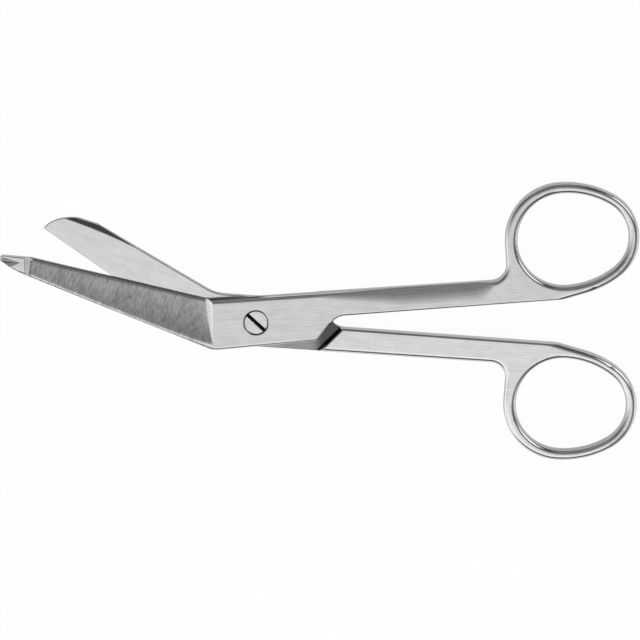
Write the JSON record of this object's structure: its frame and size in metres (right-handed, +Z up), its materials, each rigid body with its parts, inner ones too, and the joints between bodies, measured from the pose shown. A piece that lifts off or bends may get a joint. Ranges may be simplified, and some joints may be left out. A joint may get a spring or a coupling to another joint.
{
  "type": "bandage scissors",
  "caption": "Angled bandage scissors of satin steel with a blunt probe on the lower blade, oval finger rings and a slotted joint screw.",
  "frame": {"origin": "on the joint screw's axis, in the plane that the scissors lie on", "axes": "+X from the joint screw towards the finger rings, +Z up along the screw's axis, +Y towards the probe blade half's ring"},
  "size_m": [0.1402, 0.0622, 0.004],
  "materials": {
    "satin_steel": "satin, brushed lengthwise",
    "screw_steel": "ground"
  },
  "bodies": {
    "plain_half": {"plain_blade_half": "satin_steel", "joint_screw": "screw_steel"},
    "probe_half": {"probe_blade_half": "satin_steel"}
  },
  "joints": [
    {"name": "blade_pivot", "type": "hinge", "parent": "plain_half", "child": "probe_half", "pos_m": [0, 0, 0.002], "axis": [0, 0, 1], "range_deg": [-8.4, 118]}
  ]
}
